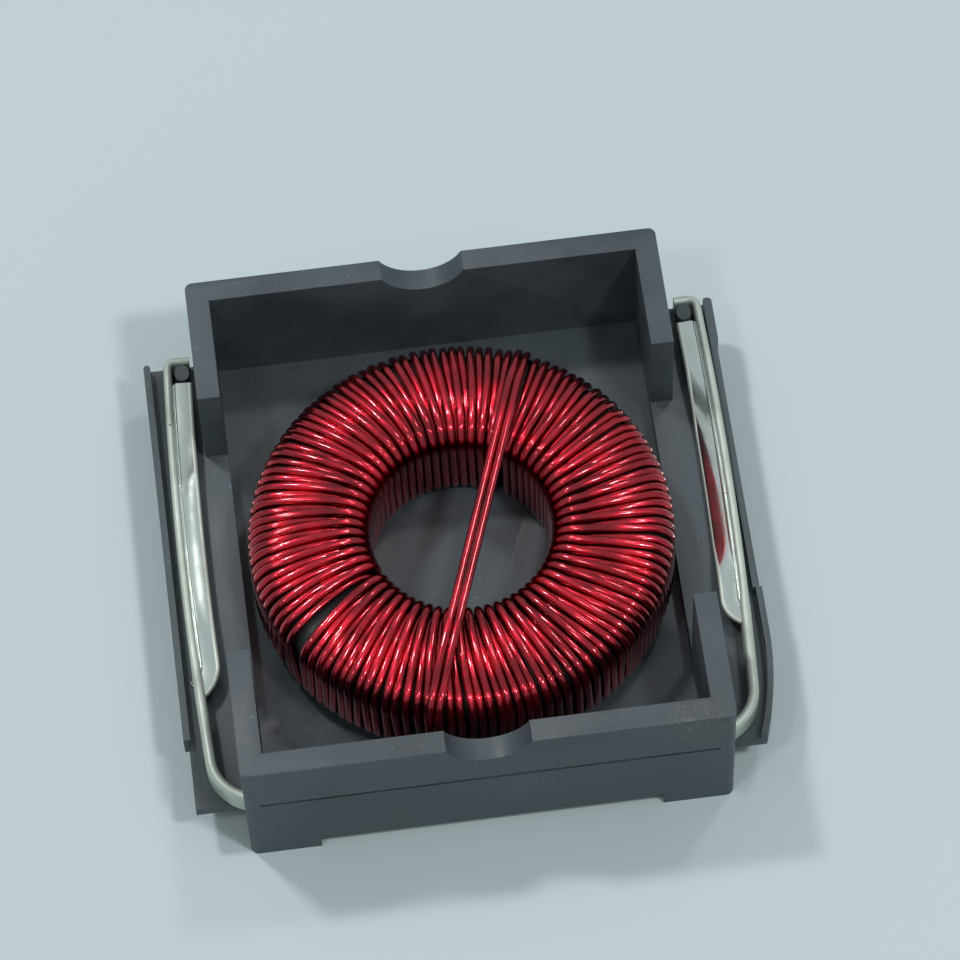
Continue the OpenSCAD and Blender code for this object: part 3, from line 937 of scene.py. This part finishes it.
    def edge_places(self) -> list[Matrix]:
        """Returns the standing edge's places: tongue, front bend, bow, and the hook around the lug."""
        front = self.spring.bend + self.spring.apex
        lean = math.asin(front / self.bow_r)
        reach = self.spring.out - self.bow_r * (1 - math.cos(lean))
        turn = math.acos(math.cos(lean) - reach / self.bend_r) - lean + math.radians(self.tongue_turn)
        axis = self.on_bow(-front) @ Matrix.Translation((self.bow_r - self.bend_r, 0, 0))
        places = [axis @ turned(-turn * (1 - step / self.bend_steps), self.bend_r)
                  for step in range(self.bend_steps)]
        back = self.hook_y - self.spring.apex
        places += self.bow(-front, back, self.bow_steps)
        hook = self.hook_r + self.edge_t / 2
        axis = self.on_bow(back) @ Matrix.Translation((self.bow_r - hook, 0, 0))
        places += [axis @ turned(math.radians(90 * step / self.hook_steps), hook)
                   for step in range(1, self.hook_steps + 1)]
        places.append(axis @ Matrix.Translation((-self.hook_l, 0, 0)) @ turned(math.radians(90), hook))
        return places

    def leaf_places(self) -> list[Matrix]:
        """Returns the leaf's places: the front end that turns in to the edge, and the run along the bow."""
        front = self.spring.leaf_front + self.spring.apex
        reach = self.spring.turn_r - self.leaf_w - self.edge_t / 2
        turn = math.acos(1 - (self.leaf_w - self.hem_r / 2) / self.spring.turn_r)
        axis = self.on_bow(-front) @ Matrix.Translation((self.bow_r + reach, 0, 0))
        places = [axis @ turned(turn * (1 - step / self.turn_steps), -reach)
                  for step in range(self.turn_steps)]
        return places + self.bow(-front, self.leaf_back - self.spring.apex, self.run_steps)

    def rolled(self, place: Matrix) -> float:
        """Returns how far the leaf is rolled down at a place, from 0 at its ends to 1 in its middle."""
        from_front = place.translation.y + self.spring.leaf_front
        from_back = self.leaf_back - place.translation.y
        return (smooth((from_front - self.flat_front) / self.rolling_front)
                * smooth((from_back - self.flat_back) / self.rolling_back))

    def forward(self, place: Matrix) -> float:
        """Returns how much of the strip's own thickness shows at a place, 1 in front of the leaf."""
        before_leaf = -self.spring.leaf_front - place.translation.y
        return smooth((before_leaf + self.thicker_lead) / self.thicker_run)

    def build(self, plate: bpy.types.Material, edge: bpy.types.Material) -> None:
        """Sweeps the leaf, its bead and the standing edge along the clip and makes it a piece.

        Args:
            plate: Finish of the leaf.
            edge: Finish of the standing edge and of the leaf's bead.
        """
        mesh = bmesh.new()
        leaf_rings, bead_rings = [], []
        for place in self.leaf_places():
            leaf, bead = self.leaf_outlines(self.rolled(place))
            leaf_rings.append([place @ point for point in leaf])
            bead_rings.append([place @ point for point in bead])
        edge_rings = [[place @ point for point in self.edge_outline(self.forward(place))]
                      for place in self.edge_places()]
        skin(mesh, leaf_rings)
        for face in skin(mesh, bead_rings) + skin(mesh, edge_rings):
            face.material_index = 1
        mesh.transform(Matrix.Translation((self.wall_x, 0, 0)))
        mesh.transform(Matrix.Scale(self.side.value, 4, (1, 0, 0)))
        bmesh.ops.recalc_face_normals(mesh, faces=mesh.faces)
        new_piece(f"{self.node}_strip", mesh, [plate, edge], self.node,
                  self.crisp_turn)


@dataclass
class Studio:
    """The plain floor, the soft lights and the camera at the photograph's angle."""

    floor_half: float = 0.6
    room: str = "#dfe6ea"
    world_level: float = 0.42
    mirror_level: float = 0.62
    # Two strong lamps face each other over the ring, so that a turn shows two short streaks of light,
    # and two weak ones between them soften the shadows
    lamp_levels: tuple[float, ...] = (0.56, 0.2, 0.56, 0.2)
    lamp_size: float = 0.045
    lamp_distance: float = 0.45
    lamp_tilt: float = 29.0
    first_lamp: float = -45.0
    lens: float = 180.0
    nearest: float = 0.01
    camera_at: tuple[float, float, float] = (-10.573 * MM, -150.724 * MM, 283.375 * MM)
    camera_turn: tuple[float, float, float] = (29.18, 1.427, -7.233)

    def build(self) -> None:
        """Sets up everything around the part."""
        self.floor()
        self.world()
        for number, level in enumerate(self.lamp_levels):
            self.lamp(number, level)
        self.camera()
        bpy.context.scene.view_settings.view_transform = "Standard"

    def floor(self) -> None:
        """Lays the floor under the feet."""
        mesh = bmesh.new()
        bmesh.ops.create_grid(mesh, x_segments=1, y_segments=1, size=self.floor_half)
        data = bpy.data.meshes.new("floor")
        mesh.to_mesh(data)
        mesh.free()
        data.materials.append(Backdrop().material())
        ground = bpy.data.objects.new("floor", data)
        bpy.context.scene.collection.objects.link(ground)

    def world(self) -> None:
        """Makes the room an even pale grey, which the camera sees at full strength."""
        world = bpy.data.worlds.new("studio")
        bpy.context.scene.world = world
        world.use_nodes = True
        tree = world.node_tree
        tree.nodes.clear()
        rays = add_node(tree, "ShaderNodeLightPath").outputs
        lit = add_node(tree, "ShaderNodeMapRange", {
            "Value": rays["Is Glossy Ray"], "To Min": self.world_level, "To Max": self.mirror_level})
        seen = add_node(tree, "ShaderNodeMath", {
            0: rays["Is Camera Ray"], 1: rays["Is Transmission Ray"]}, operation="MAXIMUM")
        level = add_node(tree, "ShaderNodeMath", {0: lit, 1: seen}, operation="MAXIMUM")
        back = add_node(tree, "ShaderNodeBackground", {"Color": linear(self.room), "Strength": level})
        add_node(tree, "ShaderNodeOutputWorld", {"Surface": back})

    def lamp(self, number: int, level: float) -> None:
        """Hangs one square soft lamp over a corner of the part.

        Args:
            number: 0 over the right front corner, and on from there against the clock.
            level: The lamp's power in watts.
        """
        data = bpy.data.lights.new(f"soft_lamp_{number + 1}", "AREA")
        data.shape = "SQUARE"
        data.size = self.lamp_size
        data.energy = level
        lamp = bpy.data.objects.new(data.name, data)
        bpy.context.scene.collection.objects.link(lamp)
        tilt = math.radians(self.lamp_tilt)
        side = math.radians(self.first_lamp + 360 * number / len(self.lamp_levels))
        towards = Vector((math.sin(tilt) * math.cos(side), math.sin(tilt) * math.sin(side), math.cos(tilt)))
        lamp.location = towards * self.lamp_distance
        lamp.rotation_euler = towards.to_track_quat("Z", "Y").to_euler()

    def camera(self) -> None:
        """Puts the camera where the photograph was taken from, 320 mm away with a long lens."""
        data = bpy.data.cameras.new("camera")
        data.lens = self.lens
        data.clip_start = self.nearest
        camera = bpy.data.objects.new("camera", data)
        camera.location = self.camera_at
        camera.rotation_euler = [math.radians(turn) for turn in self.camera_turn]
        bpy.context.scene.collection.objects.link(camera)
        bpy.context.scene.camera = camera


def main() -> None:
    """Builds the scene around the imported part."""
    logging.basicConfig(level=logging.INFO, format="%(name)s: %(message)s")
    Studio().build()
    Tray().build(MouldedPlastic().material())
    RingCore().build(CoreCoating().material())
    tinned = TinPlate(name="tinned_copper_ends", bright="#cccdc8")
    finishes = [EnamelledCopper().material(), tinned.material()]
    winding = Winding()
    winding.build(Layer.LOWER, "wire_a", finishes)
    winding.build(Layer.UPPER, "wire_b", finishes)
    rolled = TinPlate(name="rolled_tin_edge", bright="#c0cac0", dull="#adb7a9", metal=0.4, roughness=0.4)
    plate, edge = TinPlate().material(), rolled.material()
    for side, spring in SPRINGS.items():
        SideClip(side, spring).build(plate, edge)


if __name__ == "__main__":
    main()
    bpy.context.view_layer.update()
